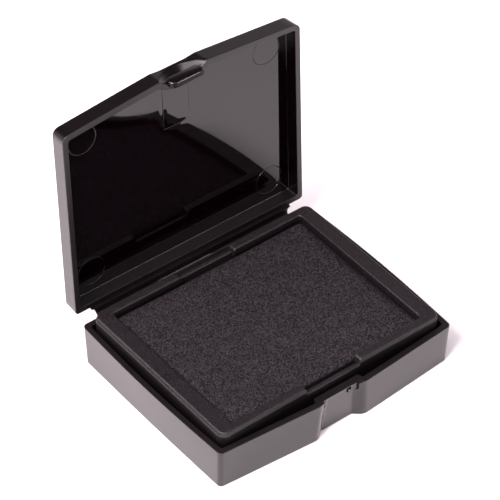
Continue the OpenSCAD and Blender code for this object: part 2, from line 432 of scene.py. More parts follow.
def join(name, pieces):
    """One object from several, in the order given; each face keeps its material."""
    shape = bmesh.new()
    materials = []
    for piece in pieces:
        start = len(shape.faces)
        shape.from_mesh(piece.data)
        shape.faces.ensure_lookup_table()
        slots = list(piece.data.materials)
        for material in slots:
            if material not in materials:
                materials.append(material)
        for face in shape.faces[start:]:
            if slots:
                face.material_index = materials.index(slots[face.material_index])
        bpy.data.objects.remove(piece)
    mesh = bpy.data.meshes.new(name)
    shape.to_mesh(mesh)
    shape.free()
    for material in materials:
        mesh.materials.append(material)
    return placed(name, mesh)


def realised(piece, name):
    """A plain object of what the modifiers make of a piece, which it replaces."""
    graph = bpy.context.evaluated_depsgraph_get()
    mesh = bpy.data.meshes.new_from_object(piece.evaluated_get(graph))
    mesh.name = name
    bpy.data.objects.remove(piece)
    return placed(name, mesh)


# ---------------------------------------------------------------- materials

def feed(tree, slot, value):
    """Sets a socket: a link from another socket or a Wire, or a plain value."""
    source = getattr(value, "socket", value)
    if isinstance(source, bpy.types.NodeSocket):
        tree.links.new(source, slot)
    else:
        slot.default_value = value


def add_node(tree, kind, settings=None, inputs=None):
    """Adds a node: first its settings, then its sockets' values and links."""
    node = tree.nodes.new(kind)
    for key, value in (settings or {}).items():
        setattr(node, key, value)
    for key, value in (inputs or {}).items():
        feed(tree, node.inputs[key], value)
    return node


def mixed(tree, factor, first, second):
    """The colour output of a Mix node; its sockets 0, 6 and 7 are those of colours."""
    node = add_node(tree, "ShaderNodeMix", {"data_type": "RGBA"},
                    {0: factor, 6: first, 7: second})
    return node.outputs[2]


class Wire:
    """A socket of a material's tree; arithmetic on it adds the Math nodes."""

    def __init__(self, tree, socket):
        self.tree = tree
        self.socket = socket

    def math(self, operation, *terms):
        """A Math node on sockets and numbers."""
        node = add_node(self.tree, "ShaderNodeMath", {"operation": operation},
                        dict(enumerate(terms)))
        return Wire(self.tree, node.outputs[0])

    def __add__(self, other):
        return self.math("ADD", self, other)

    __radd__ = __add__

    def __sub__(self, other):
        return self.math("SUBTRACT", self, other)

    def __rsub__(self, other):
        return self.math("SUBTRACT", other, self)

    def __mul__(self, other):
        return self.math("MULTIPLY", self, other)

    __rmul__ = __mul__

    def __abs__(self):
        return self.math("ABSOLUTE", self)


class Finish:
    """A material under construction: its nodes, and what feeds its surface."""

    def __init__(self, name):
        self.material = bpy.data.materials.new(name)
        self.material.use_nodes = True
        self.tree = self.material.node_tree
        self.surface = self.tree.nodes["Principled BSDF"]
        self.place = self.node("ShaderNodeTexCoord", output="Object")

    def node(self, kind, settings=None, inputs=None, output=0):
        """Adds a node and gives one of its outputs."""
        node = add_node(self.tree, kind, settings, inputs)
        return Wire(self.tree, node.outputs[output])

    def noise(self, size, detail=2.0, roughness=0.5):
        """Noise from 0 to 1 whose features are about size millimetres across."""
        return self.node("ShaderNodeTexNoise", inputs={
            "Vector": self.place, "Scale": 1 / (size * MM), "Detail": detail,
            "Roughness": roughness})

    def cells(self, size, output="Distance"):
        """Distance from the nearest of scattered points, size millimetres apart."""
        return self.node("ShaderNodeTexVoronoi", inputs={
            "Vector": self.place, "Scale": 1 / (size * MM)}, output=output)

    def scatter(self, size):
        """A chance value for each of the cells round those points."""
        return self.cells(size, "Color")

    def ramp(self, value, low, high):
        """A value stretched so that low becomes 0 and high becomes 1, and held there."""
        return self.node("ShaderNodeMapRange", {"interpolation_type": "SMOOTHSTEP"}, {
            "Value": value, "From Min": low, "From Max": high})

    def mix(self, factor, first, second):
        """A colour between two others."""
        return Wire(self.tree, mixed(self.tree, factor, first, second))

    def bump(self, height, depth, under=None):
        """A bump whose height of 1 stands for depth millimetres."""
        inputs = {"Height": height, "Strength": 1.0, "Distance": depth * MM}
        if under is not None:
            inputs["Normal"] = under
        return self.node("ShaderNodeBump", inputs=inputs, output="Normal")

    def done(self, **sockets):
        """Feeds the surface's sockets, named with _ for a space, and returns the material."""
        for key, value in sockets.items():
            feed(self.tree, self.surface.inputs[key.replace("_", " ")], value)
        return self.material


def opaque(rgb, gain=1.0):
    return (rgb[0] * gain, rgb[1] * gain, rgb[2] * gain, 1.0)


BOW_HEIGHT = 37.0          # height in the open lid of the middle of its inside's bow
BOW_FROM, BOW_TO = -46.0, -8.0   # where across the lid the bow starts, and where it is full
BOW_CURVE = -0.7
SINK_SIDE = 4.75           # distance from the middle of the sink beside the mould's insert
SINK_END = 64.05           # height in the open lid of the insert's end
SINK_WIDTH = 1.6


def moulded(name, rgb, roughness, grain_size, grain_depth, shine=0.5):
    """Moulded black plastic: a fine tool texture, faint flow marks and handling marks."""
    finish = Finish(name)
    grain = finish.noise(grain_size, 3.0, 0.65)
    flow = finish.noise(14.0, 3.0, 0.55)
    rub = finish.ramp(finish.noise(3.2, 4.0, 0.6), 0.56, 0.74)
    bump = finish.bump(flow, 0.02)
    bump = finish.bump(grain, grain_depth, bump)
    return finish.done(
        Base_Color=finish.mix(grain * 0.7 + rub * 0.3, opaque(rgb, 0.75), opaque(rgb, 1.35)),
        Roughness=flow * 0.1 + (rub * 0.05 + (roughness - 0.05)),
        Specular_IOR_Level=shine,
        Normal=bump,
        IOR=1.5,
    )


def polished(name, rgb, roughness):
    """The mirror-like inside of the lid: a slight bow, sink round the mould's insert, dust."""
    finish = Finish(name)
    x, z = (finish.node("ShaderNodeSeparateXYZ", inputs={"Vector": finish.place}, output=axis)
            for axis in "XZ")
    rise = z - BOW_HEIGHT * MM
    free = finish.ramp(x, BOW_FROM * MM, BOW_TO * MM)
    bow = rise * rise * (free * BOW_CURVE)
    beside = abs(x) - SINK_SIDE * MM
    edge = beside.math("MAXIMUM", beside, SINK_END * MM - z)
    groove = finish.ramp(abs(edge), 0.0, SINK_WIDTH * MM)
    smears = finish.ramp(finish.noise(7.0, 4.0, 0.6), 0.5, 0.8)
    dust = finish.ramp(finish.cells(2.6), 0.035, 0.02)
    bump = finish.bump(bow, 1 / MM)
    bump = finish.bump(groove, 0.02, bump)
    bump = finish.bump(finish.noise(22.0, 1.0, 0.4), 0.03, bump)
    return finish.done(
        Base_Color=finish.mix(dust, opaque(rgb), (0.1, 0.09, 0.09, 1.0)),
        Roughness=smears * 0.05 + (dust * 0.4 + roughness),
        Normal=bump,
        IOR=1.5,
    )


def inked_foam(name, rgb, cell):
    """Fine open cells soaked in dry black ink: lit cell walls between dark pores."""
    finish = Finish(name)
    pores = finish.cells(cell)
    walls = finish.ramp(finish.scatter(cell * 0.8), 0.25, 0.88)
    patches = finish.noise(9.0, 3.0, 0.5)
    lit = walls * (patches * 0.7 + 0.65)
    return finish.done(
        Base_Color=finish.mix(lit, opaque(rgb, 0.1), opaque(rgb, 2.5)),
        Roughness=0.8 - walls * 0.25,
        Specular_IOR_Level=0.22,
        Normal=finish.bump(pores * 0.6 + walls * 0.6, 0.25),
        IOR=1.45,
    )


def textured(name, rgb, roughness):
    """Plastic with a coarse, sparkling tool texture, rubbed shiny in patches."""
    finish = Finish(name)
    grain = finish.noise(0.5, 2.0, 0.6)
    bright = finish.ramp(grain, 0.49, 0.66)
    rub = finish.ramp(finish.noise(5.0, 4.0, 0.65), 0.5, 0.72)
    return finish.done(
        Base_Color=finish.mix(bright * (rub * 0.6 + 0.5), opaque(rgb, 0.3), opaque(rgb, 4.0)),
        Roughness=roughness - rub * 0.12,
        Specular_IOR_Level=0.4,
        Normal=finish.bump(grain, 0.09),
        IOR=1.5,
    )


def floor_finish(name, rgb):
    """A matt floor with a faint cloudiness."""
    finish = Finish(name)
    grain = finish.noise(1.5, 2.0, 0.5)
    return finish.done(
        Base_Color=finish.mix(grain, opaque(rgb, 0.985), opaque(rgb, 1.015)),
        Roughness=0.9,
        Specular_IOR_Level=0.1,
    )


def make_material(name):
    """Makes one of the finishes from the colours and roughness in the settings."""
    look = bpy.context.scene.ink_pad_finish
    # Moulded plastic: roughness, size and depth of its grain, and its shine.
    plastics = {
        "case_satin": (look.satin, 0.16, 0.006),
        "case_inside": (0.38, 0.2, 0.008),
        # case_deep: the same plastic, rougher and with less shine, as painted shade inside the base
        # and on the insert's skirt.
        "case_deep": (0.55, 0.2, 0.008, 0.16),
        "case_rim": (0.42, 0.18, 0.01),
        "lid_wall": (0.13, 0.3, 0.001),
        "latch_gloss": (0.2, 0.3, 0.003),
        "hinge_satin": (0.35, 0.2, 0.004),
    }
    others = {
        "lid_polished": (polished, look.plastic, look.polish),
        "insert_texture": (textured, look.insert, look.texture),
        "inked_foam": (inked_foam, look.foam, 0.42),
        "inked_felt": (inked_foam, look.felt, 0.7),
        "pale_floor": (floor_finish, look.floor),
    }
    if name in plastics:
        return moulded(name, look.plastic, *plastics[name])
    maker, *values = others[name]
    return maker(name, *values)


def material(name):
    """One of the finishes, made the first time that it is asked for."""
    return bpy.data.materials.get(name) or make_material(name)


def paint(piece, finish):
    """Gives a whole piece one finish."""
    piece.data.materials.clear()
    piece.data.materials.append(material(finish))
    return piece


def repaint(piece, finish, chosen):
    """Gives another finish to the faces for which chosen(face) is true."""
    piece.data.materials.append(material(finish))
    for face in piece.data.polygons:
        if chosen(face):
            face.material_index = len(piece.data.materials) - 1
    return piece


# ---------------------------------------------------------------- the case's two shells

POCKET_X = [4.35, 6.45]    # sides of the pocket in the rim at each end of the latch's tab
POCKET_DEEP = 2.9
LEDGE_X = [7.35]           # ends of the step in the rim under the latch's tab
LEDGE_DROP = 0.4
LEDGE_BACK = 1.3
FOOT_PANEL = [(5.0, 0.3), (4.4, 0.3), (4.2, 0.24), (4.0, 0.06), (3.8, 0.0)]   # inset, height
FLOOR_BEND = 1.0           # rounding between the base's walls and its floor, inside
CEILING_BEND = 0.14        # rounding between the lid's walls and its panel, inside
PIT = (3.3, 13.1)          # a sink hole in the face of the thumb recess: its x and z
PIT_RADIUS = 0.9
PIT_DEEP = 2.1
# The tab's front from its face to its full height: share of the slope's depth, share of the
# toe's height, and how far the top edge is rounded off, in millimetres.
TAB_PROFILE = [(0.0, 1.45, 0.35), (0.04, 1.25, 0.15), (0.12, 1.05, 0.05), (0.25, 0.85, 0.0),
               (0.6, 0.43, 0.0), (0.9, 0.12, 0.0), (0.97, 0.03, 0.0), (1.0, 0.0, 0.0)]


def even(start, stop, step):
    """Positions from start to stop, both included, about step apart."""
    return np.linspace(start, stop, max(2, round(abs(stop - start) / step) + 1))


def step_edges(positions, edges, gap=0.03):
    """Positions with a close pair round each edge, so that a step there is crisp."""
    pairs = [e + side * gap for e in edges for side in (-1, 1)]
    kept = [p for p in positions if all(abs(p - e) > 0.12 for e in edges)]
    return np.array(sorted(kept + pairs))


def near_latch(edges):
    """Where a front is sampled beside its middle, fine enough for the latch's details."""
    return np.concatenate([step_edges(even(0, 10.5, 0.3), edges), even(11.0, 14.0, 0.6)])


def base_sizes(case):
    """The base's half width, front and back at its corners, and its rim's height."""
    _, high = cad_box("case_base")
    return SimpleNamespace(half=high[0] - case.side_bow, front=-high[1], back=high[1], top=high[2])


def base_face(case, size):
    """The y of the flat of the thumb recess at the rim."""
    return size.front - case.base_prow + case.recess_depth


def base_outline(case, size, z):
    """The base's outer outline at height z; the draft makes it smaller towards the foot."""
    low = 1 - z / size.top
    tuck = case.draft * low
    front = size.front - case.base_prow + case.front_draft * low
    corner = (size.half - tuck, size.front + case.front_draft * low)
    line = front_line([
        (case.recess_half + 1.1 * low, front + case.recess_depth + case.recess_lean * low, 0.3),
        (case.shoulder + 0.4 * low, front, case.shoulder_edge),
    ], corner)
    return whole_ring(half_ring(line, corner, (size.half - tuck, size.back - tuck), case.corner,
                                near_latch(POCKET_X + LEDGE_X), case.side_bow - 0.6 * low))


def base_hollow(case, size, shrink=0.0):
    """The outline of the hollow in the base."""
    jog = case.shoulder + 0.6
    front = size.front - case.base_prow
    corner = (size.half - case.wall - shrink, size.front + case.wall + shrink)
    line = front_line([
        (jog - 0.5, front + case.recess_depth + case.recess_wall, 0.15),
        (jog, front + case.front_wall, 0.3),
    ], corner)
    back = (size.half - case.wall - shrink, size.back - case.wall - shrink)
    return whole_ring(half_ring(line, corner, back, 0.8, near_latch(POCKET_X + LEDGE_X),
                                case.side_bow))


def foot_panel(size, inset):
    """The outline of the shallow panel in the underside."""
    corner = (size.half - inset, size.front + inset)
    line = front_line([], corner)
    return whole_ring(half_ring(line, corner, (size.half - inset, size.back - inset), 2.0,
                                near_latch(POCKET_X + LEDGE_X)))


def seat_latch(case, size, rings, first_rim, last_rim):
    """Shapes the front of the base's rings: the tab's pockets and step, and the sink hole."""
    recess = base_face(case, size)
    low = size.top - 1.0
    lowered = (size.top - LEDGE_DROP - low) / (size.top - low)
    for k, ring in enumerate(rings[:last_rim]):
        x, y, z = np.abs(ring[:, 0]), ring[:, 1], ring[:, 2]
        front = y < 0
        pocket = front & (x > POCKET_X[0]) & (x < POCKET_X[1]) & (z > size.top - POCKET_DEEP)
        y[pocket] = np.maximum(y[pocket], recess + 0.08 * max(0, k - first_rim + 1))
        if k < first_rim:
            away = np.hypot(ring[:, 0] - PIT[0], z - PIT[1])
            sunk = front & (away < PIT_RADIUS)
            y[sunk] += PIT_DEEP * smooth_step(1.9 - away[sunk] / 0.5)
        ledge = front & (x < LEDGE_X[0])
        if k in (first_rim + 1, first_rim + 2):
            y[ledge] = recess + LEDGE_BACK + (0.03 if k == first_rim + 2 else -0.03)
        if k <= first_rim + 1:
            sunk = ledge & (z > low)
            z[sunk] = low + (z[sunk] - low) * lowered


def base_shell(case):
    """The base: a drafted, bowed tray with a thumb recess and a seat for the latch."""
    size = base_sizes(case)
    top, rim, foot = size.top, case.rim_edge, case.foot_edge
    bend, floor = FLOOR_BEND, case.skin

    def outer(z, inset=0.0):
        return lift(inset_ring(base_outline(case, size, z), inset), z)

    def inner(z, inset=0.0, shrink=0.35):
        return lift(inset_ring(base_hollow(case, size, shrink), inset), z)

    rings = [lift(foot_panel(size, inset), z) for inset, z in FOOT_PANEL]
    rings.append(outer(0.0, foot + 0.25))
    rings += [outer(foot - rise, inset) for inset, rise in reversed(fillet(foot))]
    walls = np.concatenate([even(foot + 0.4, top - 3.0, 2.4), even(top - 2.7, top - 0.5, 0.4)])
    rings += [outer(z) for z in step_edges(walls, [top - POCKET_DEEP])]
    rings += [outer(top - rim + rise, inset) for inset, rise in fillet(rim)]
    first_rim = len(rings)
    outside, inside = outer(top, rim), inner(top, -rim, 0.0)
    rings += [outside + (inside - outside) * t for t in (0.12, 0.5, 0.53, 0.88)]
    last_rim = len(rings)
    rings += [inner(top - rim + rise, -inset, 0.0) for inset, rise in reversed(fillet(rim))]
    rings += [inner(z, 0.0, 0.35 * (1 - z / top))
              for z in (top - 0.6, 10.0, 5.0, floor + bend + 0.4)]
    rings += [inner(floor + bend - rise, inset) for inset, rise in fillet(bend)]
    rings.append(inner(floor, bend + 0.4))
    seat_latch(case, size, rings, first_rim, last_rim)
    piece = skinned("base_shell", rings)
    # From below the rim's inner rounding down to the floor, the inside takes the duller plastic:
    # painted shade deep in the base.
    paint_rings(piece, rings, [(0, "case_satin"), (first_rim - 3, "case_rim"),
                               (last_rim + 4, "case_deep")])
    pit_y = base_face(case, size) + 0.25

    def in_pit(face):
        x, y, z = face.center / MM
        return math.hypot(x - PIT[0], z - PIT[1]) < PIT_RADIUS and pit_y < y < pit_y + 2.0

    # The pit's faces take the dark felt finish: painted shade inside the hole.
    return repaint(piece, "inked_felt", in_pit)


def paint_rings(piece, rings, spans):
    """Gives the faces between rings their finishes: each span runs from its first ring."""
    size = len(rings[0])
    first_cap = size * (len(rings) - 1)
    for _, finish in spans:
        piece.data.materials.append(material(finish))
    for face in piece.data.polygons:
        ring = 0 if face.index == first_cap else face.index // size
        face.material_index = sum(1 for start, _ in spans if ring >= start) - 1
    return finish_mesh(piece)


def lid_sizes():
    """The shut lid's half width, front and back at its corners, rim and top."""
    low, high = shut_box("case_lid")
    return SimpleNamespace(half=high[0], front=-high[1], back=high[1], rim=low[2], top=high[2])


def lid_outline(case, size, z):
    """The lid's outer outline at height z when it is shut."""
    tuck = case.lid_draft * (z - size.rim) / (size.top - size.rim)
    front = size.front - case.lid_prow + tuck
    corner = (size.half - tuck, size.front + tuck)
    line = front_line([
        (case.recess_half, front + case.lid_recess, 0.3),
        (case.shoulder, front, case.shoulder_edge),
    ], corner)
    return whole_ring(half_ring(line, corner, (size.half - tuck, size.back - tuck),
                                case.lid_corner, near_latch([]), 0.0, case.lid_back_corner))


def lid_hollow(case, size):
    """The outline of the hollow in the lid."""
    corner = (size.half - case.wall, size.front + case.wall)
    line = front_line([(case.shoulder + 0.6, size.front - case.lid_prow + case.front_wall, 1.0)],
                      corner)
    return whole_ring(half_ring(line, corner, (size.half - case.wall, size.back - case.wall), 0.9,
                                near_latch([])))


def scoop_face(case, size, ring, extra=0.0):
    """The y of the scoop's ball, grown by extra, over the points of a ring."""
    reach = math.sqrt(case.scoop ** 2 - case.scoop_mouth ** 2)
    middle_y = size.front - case.lid_prow + case.lid_recess - reach
    middle_z = base_sizes(case).top - case.scoop_drop
    under = (case.scoop + extra) ** 2 - ring[:, 0] ** 2 - (ring[:, 2] - middle_z) ** 2
    return np.where(under > 0, middle_y + np.sqrt(np.maximum(under, 0)), -1e3)


def scooped(case, size, ring, inset=0.0):
    """A ring of the lid's outer face with the thumb scoop pressed in."""
    front = ring[:, 1] < 0
    y = blend_max(ring[:, 1], scoop_face(case, size, ring) + inset, 0.3)
    ring[front, 1] = y[front]
    return ring


def bossed(case, size, ring, inset=0.0):
    """A ring of the lid's inner face with the wall behind the scoop standing in."""
    front = ring[:, 1] < 0
    face = scoop_face(case, size, ring, case.boss) - inset
    ring[front, 1] = blend_max(ring[:, 1], face, 0.5)[front]
    return ring


def lid_shell(case):
    """The lid: a shallow cover with a thumb scoop, polished inside."""
    size = lid_sizes()
    rim, edge, bend = case.rim_edge, case.panel_edge, CEILING_BEND
    ceiling = size.top - case.skin

    def outer(z, inset=0.0, sunk=0.0):
        ring = lift(inset_ring(lid_outline(case, size, z), inset), z)
        return scooped(case, size, ring, sunk)

    def inner(z, inset=0.0, sunk=0.0):
        return bossed(case, size, lift(inset_ring(lid_hollow(case, size), inset), z), sunk)

    rings = [inner(ceiling, bend + 0.5), inner(ceiling, bend + 0.03)]
    rings += [inner(ceiling - bend + rise, inset) for inset, rise in reversed(fillet(bend))]
    first_wall = len(rings)
    walls = even(size.rim + rim + 0.25, ceiling - bend - 0.03, 0.3)
    rings += [inner(z) for z in walls[::-1]]
    first_rim = len(rings)
    rings += [inner(size.rim + rim - rise, -inset, inset) for inset, rise in fillet(rim)]
    inside, outside = inner(size.rim, -rim, rim), outer(size.rim, rim, rim)
    rings += [inside + (outside - inside) * t for t in (0.15, 0.85)]
    rings += [outer(size.rim + rim - rise, inset, inset) for inset, rise in reversed(fillet(rim))]
    last_rim = len(rings)
    walls = even(size.rim + rim + 0.25, size.top - edge - 0.2, 0.25)
    rings += [outer(z) for z in walls]
    rings += [outer(size.top - edge + rise, inset) for inset, rise in fillet(edge, 6)]
    rings.append(outer(size.top, edge + 0.5))
    piece = skinned("lid_shell", [opened(ring) for ring in rings])
    paint_rings(piece, rings, [(0, "lid_polished"), (first_wall, "lid_wall"),
                               (first_rim, "case_rim"), (last_rim, "case_satin")])
    inner_wall = piece.data.materials.find("lid_wall")
    return repaint(piece, "case_inside", lambda face: (
        face.material_index == inner_wall and face.normal.z > 0.7))


# ---------------------------------------------------------------- small moulded pieces

LEAF_EDGE = 0.18           # rounding of the hinge leaves' edges
LEAF_GAP = 0.3             # gap between the lid's leaf and the base's wall
WEB_THINNING = 0.3         # how much thinner the web is at its bend, as a share
WEB_BEND = (0.12, -0.1)    # the web's bend beside the hinge's axis: y and z
LINE_WIDTH = 0.3           # of the raised lines inside the lid
LINE_HEIGHT = 0.14


def edge_profile(low, high, edge, between=()):
    """Inset and height of the rings of a plate whose lower and upper edges are rounded."""
    foot = [(inset, low + edge - rise) for inset, rise in reversed(fillet(edge))]
    head = [(inset, high - edge + rise) for inset, rise in fillet(edge)]
    return foot + list(between) + head


def rounded_block(name, low, high, corner, edge):
    """A block with rounded corners and edges."""
    outline = rounded_path(rectangle(low, high, corner))
    profile = edge_profile(low[2], high[2], edge)
    return skinned(name, [lift(inset_ring(outline, inset), z) for inset, z in profile])


def leaf(name, node, case, rim_z=None):
    """A leaf of the hinge with fillets at its ends; the lid's has the height of the lid's rim.

    Above that rim it reaches the lid's wall, and below it keeps clear of the base's.
    """
    is_lid = rim_z is not None
    low, high = shut_box(node) if is_lid else cad_box(node)
    spread = case.leaf_spread
    half = high[0] - spread
    wall_y = base_sizes(case).back

    def outline(inset, clear=0.0):
        y0, y1, w = wall_y + clear, high[1] - inset, half - inset
        reach = w + spread
        return rounded_path([(reach, y0, 0), (w, y0, spread), (w, y1, 0.35),
                             (-w, y1, 0.35), (-w, y0, spread), (-reach, y0, 0)])

    step = [(0.0, rim_z - 0.02), (0.0, rim_z + 0.02)] if is_lid else []
    profile = edge_profile(low[2], high[2], LEAF_EDGE, step)
    rings = [lift(outline(i, LEAF_GAP if is_lid and z < rim_z else 0.0), z) for i, z in profile]
    return skinned(name, [opened(r) for r in rings] if is_lid else rings)


def hinge_web(case):
    """The thin moulded web between the leaves, and where it starts and ends."""
    _, high = cad_box("base_hinge_leaf")
    lid_low, _ = shut_box("lid_hinge_leaf")
    axis_y, axis_z, _ = hinge_line()
    half = high[0] - case.leaf_spread - 0.1
    t = case.web / 2
    start = np.array([high[1] - 0.15, high[2] - t])
    end = opened([0, high[1] - 0.15, lid_low[2] + t])[1:]
    bend = np.array([axis_y, axis_z]) + WEB_BEND
    steps = np.linspace(0, 1, 13)[:, None]
    path = (1 - steps) ** 2 * start + 2 * steps * (1 - steps) * bend + steps ** 2 * end
    along = np.gradient(path, axis=0)
    across = np.stack([-along[:, 1], along[:, 0]], 1)
    across /= np.linalg.norm(across, axis=1, keepdims=True)
    thin = t * (1 - WEB_THINNING * np.sin(np.pi * steps))
    section = np.concatenate([path + across * thin, (path - across * thin)[::-1]])
    rings = [np.concatenate([np.full((len(section), 1), x), section], 1)
             for x in np.linspace(-half, half, 25)]
    return skinned("hinge_web", rings), start, end


def latch_tab(case):
    """The tab that the thumb lifts: a plate with a rounded toe, and its root in the lid."""
    low, high = shut_box("lid_latch_bar")
    half, back = high[0], low[1] + case.tab
    rings = []
    for depth, tuck, soft in TAB_PROFILE:
        rings.append(tab_outline(half - 0.3 * tuck, low[2] + case.tab_toe * tuck,
                                 high[2] - case.tab_drop - soft, low[1] + case.tab_round * depth))
    for inset, y in ((0.0, back - 0.2), (0.06, back - 0.06), (0.2, back)):
        rings.append(tab_outline(half - inset, low[2] + inset, high[2] - case.tab_drop - inset, y))
    root = rounded_block("root", (-half + 0.8, back - 0.4, base_sizes(case).top - 0.2),
                         (half - 0.8, high[1], high[2] - case.tab_drop - 0.5), 0.3, 0.15)
    parts = [skinned("tab", [opened(ring) for ring in rings]), turned_open(root)]
    for part in parts:
        paint(finish_mesh(part), "latch_gloss")
    return join("latch_tab", parts)


def tab_outline(half, low, top, y):
    """The tab's outline across the front at one depth, with round ends."""
    end = min(1.9, (top - low) / 2 - 0.05)
    outline = rounded_path(rectangle((-half, low), (half, top), end), 8)
    return np.stack([outline[:, 0], np.full(len(outline), y), outline[:, 1]], 1)


# ---------------------------------------------------------------- the insert

# The bead's upper edge: share of how far it stands out, and depth below the frame's top.
BEAD_PROFILE = [(1.0, 1.6), (1.0, 1.15), (0.7, 0.97), (0.2, 0.92), (0.0, 0.88)]
LIP_DROP = 1.0             # how far under the pad's top the window's wall ends


def insert_rings(insert):
    """The frame's outer outline and its window's, sampled alike."""
    low, high = cad_box("insert_frame")
    middle_y = (low[1] + high[1]) / 2
    half = high[0] - insert.bead
    depth = high[1] - middle_y
    notch = insert.notch_half
    ends = notch + np.array([0.0, 0.02, 0.05, 0.15, 0.32, 0.55, 0.8])
    near = np.concatenate([even(0, notch - 0.02, 1.2), ends, even(notch + 1.2, 14, 1.0)])

    def ring(w, d, radius):
        line = front_line([], (w, middle_y - d))
        return whole_ring(half_ring(line, (w, middle_y - d), (w, middle_y + d), radius, near))

    return (ring(half, depth, insert.outer_corner),
            ring(insert.window_half, insert.window_depth / 2, insert.window_corner),
            low[2], high[2])


def rim_profiles(insert, foot, top, lip):
    """Inset and height of the frame's rings: those outside, from the foot, and the window's."""
    edge, soft, bead = insert.top_edge, insert.window_edge, insert.bead
    outside = [(-bead, foot)] + [(-bead * reach, top - drop) for reach, drop in BEAD_PROFILE]
    outside += [(0.0, top - edge - 0.06)]
    outside += [(inset, top - edge + rise) for inset, rise in fillet(edge)]
    outside += [(edge + 0.25, top)]
    inside = [(soft + 0.2, top)]
    inside += [(inset, top - soft + rise) for inset, rise in reversed(fillet(soft))]
    inside += [(0.0, top - soft - 0.2), (0.0, lip + 0.2), (0.15, lip)]
    return outside, inside


def notch_crest(insert, outer, top, deck):
    """The frame's height along its outline, and where it is cut down to the notches' deck."""
    x = np.abs(outer[:, 0])
    middle = np.abs(outer[:, 1] - outer[:, 1].mean()) > np.ptp(outer[:, 1]) * 0.3
    notched = middle & (x <= insert.notch_half + 0.001)
    rise = np.clip((insert.notch_half + insert.notch_round - x) / insert.notch_round, 0, 1)
    crest = np.where(middle, top - insert.notch_round * (1 - np.sqrt(1 - rise ** 2)), top)
    return np.where(notched, deck, crest), notched


def insert_rim(insert):
    """The frame round the pad: a bead, soft edges, and a notch at the front and the back."""
    outer, window, foot, top = insert_rings(insert)
    deck = top - insert.notch_drop
    lip = cad_box("foam_pad")[1][2] - LIP_DROP
    outside, inside = rim_profiles(insert, foot, top, lip)
    crest, notched = notch_crest(insert, outer, top, deck)
    along = np.roll(outer, -1, 0) - np.roll(outer, 1, 0)
    # The bead stands out fully at the sides and less at the front and the back.
    share_out = 0.25 + 0.75 * np.abs(along[:, 1]) / np.linalg.norm(along, axis=1)

    def level(z):
        """A height above the lip, squashed so that the frame's top comes to the crest."""
        return np.where(z > lip, lip + (z - lip) * (crest - lip) / (top - lip), z)

    def pack(ring, z):
        return np.concatenate([ring, z[:, None]], 1)

    wall_in = inset_ring(outer, insert.skirt)
    rings = []
    for inset, z in outside:
        spread = inset_ring(outer, inset)
        if inset < 0:
            spread = outer + (spread - outer) * share_out[:, None]
        rings.append(pack(spread, level(z)))
    drop = np.linspace(deck, lip, len(inside))
    for k, (inset, z) in enumerate(inside):
        shape = pack(inset_ring(window, -inset), level(z))
        bar = inset_ring(outer, insert.skirt - max(0.0, 0.3 - 0.15 * k))
        shape[notched, :2] = bar[notched]
        shape[notched, 2] = deck - 0.06 * k ** 2 if k < 3 else drop[k]
        rings.append(shape)
    rings += [lift(wall_in, lip), lift(wall_in, foot)]
    piece = paint(skinned("insert_rim", rings, loop=True), "insert_texture")
    # The skirt below the bead takes the duller plastic: painted shade in the gap between the frame
    # and the base.
    return finish_mesh(repaint(piece, "case_deep", lambda face: face.index < len(outer)))


CLOTH_QUALITY = 4
PRESSURE = 4.0             # of the cloth that swells the pad and the felt
FRAMES = 20                # that its simulation runs


def soft_block(name, node, voxel, swell):
    """A soft piece grown from its CAD solid: remeshed, inflated as cloth, then smoothed."""
    piece = placed(name, frame["nodes"][node].data.copy())
    piece.data.materials.clear()
    shape = bmesh.new()
    shape.from_mesh(piece.data)
    bmesh.ops.remove_doubles(shape, verts=shape.verts, dist=0.001 * MM)
    shape.to_mesh(piece.data)
    shape.free()
    remesh = piece.modifiers.new("remesh", "REMESH")
    remesh.mode = "VOXEL"
    remesh.voxel_size = voxel * MM
    piece = realised(piece, name)
    rest = points_of(piece.data)
    low, high = (np.array(c, float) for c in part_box(node))
    inflate(piece, rest)
    shift = points_of(piece.data) - rest
    far = np.linalg.norm(shift, axis=1, keepdims=True)
    shift *= np.minimum(1, swell * MM / np.maximum(far, 1e-9))
    settled = rest + shift
    settled[:, :2] = np.clip(settled[:, :2], low[:2], high[:2])
    move_points(piece, settled)
    smooth = piece.modifiers.new("soft", "SUBSURF")
    smooth.levels = smooth.render_levels = 1
    piece = realised(piece, name)
    piece.data.shade_smooth()
    return piece


def inflate(piece, rest):
    """Runs Blender's cloth on a piece with its underside pinned, and applies it."""
    scene = bpy.context.scene
    floor = rest[:, 2].min()
    pins = piece.vertex_groups.new(name="pinned")
    pins.add([int(i) for i in np.flatnonzero(rest[:, 2] < floor + 0.2 * MM)], 1.0, "REPLACE")
    cloth = piece.modifiers.new("cloth", "CLOTH")
    cloth.settings.use_pressure = True
    cloth.settings.uniform_pressure_force = PRESSURE
    cloth.settings.vertex_group_mass = "pinned"
    cloth.settings.effector_weights.gravity = 0.0
    cloth.settings.quality = CLOTH_QUALITY
    cloth.point_cache.frame_start = 1
    cloth.point_cache.frame_end = FRAMES
    for at in range(1, FRAMES + 1):
        scene.frame_set(at)
    graph = bpy.context.evaluated_depsgraph_get()
    shaped = piece.evaluated_get(graph)
    points = [v.co.copy() for v in shaped.data.vertices]
    piece.modifiers.remove(cloth)
    move_points(piece, points)
    scene.frame_set(1)


# ---------------------------------------------------------------- Geometry Nodes

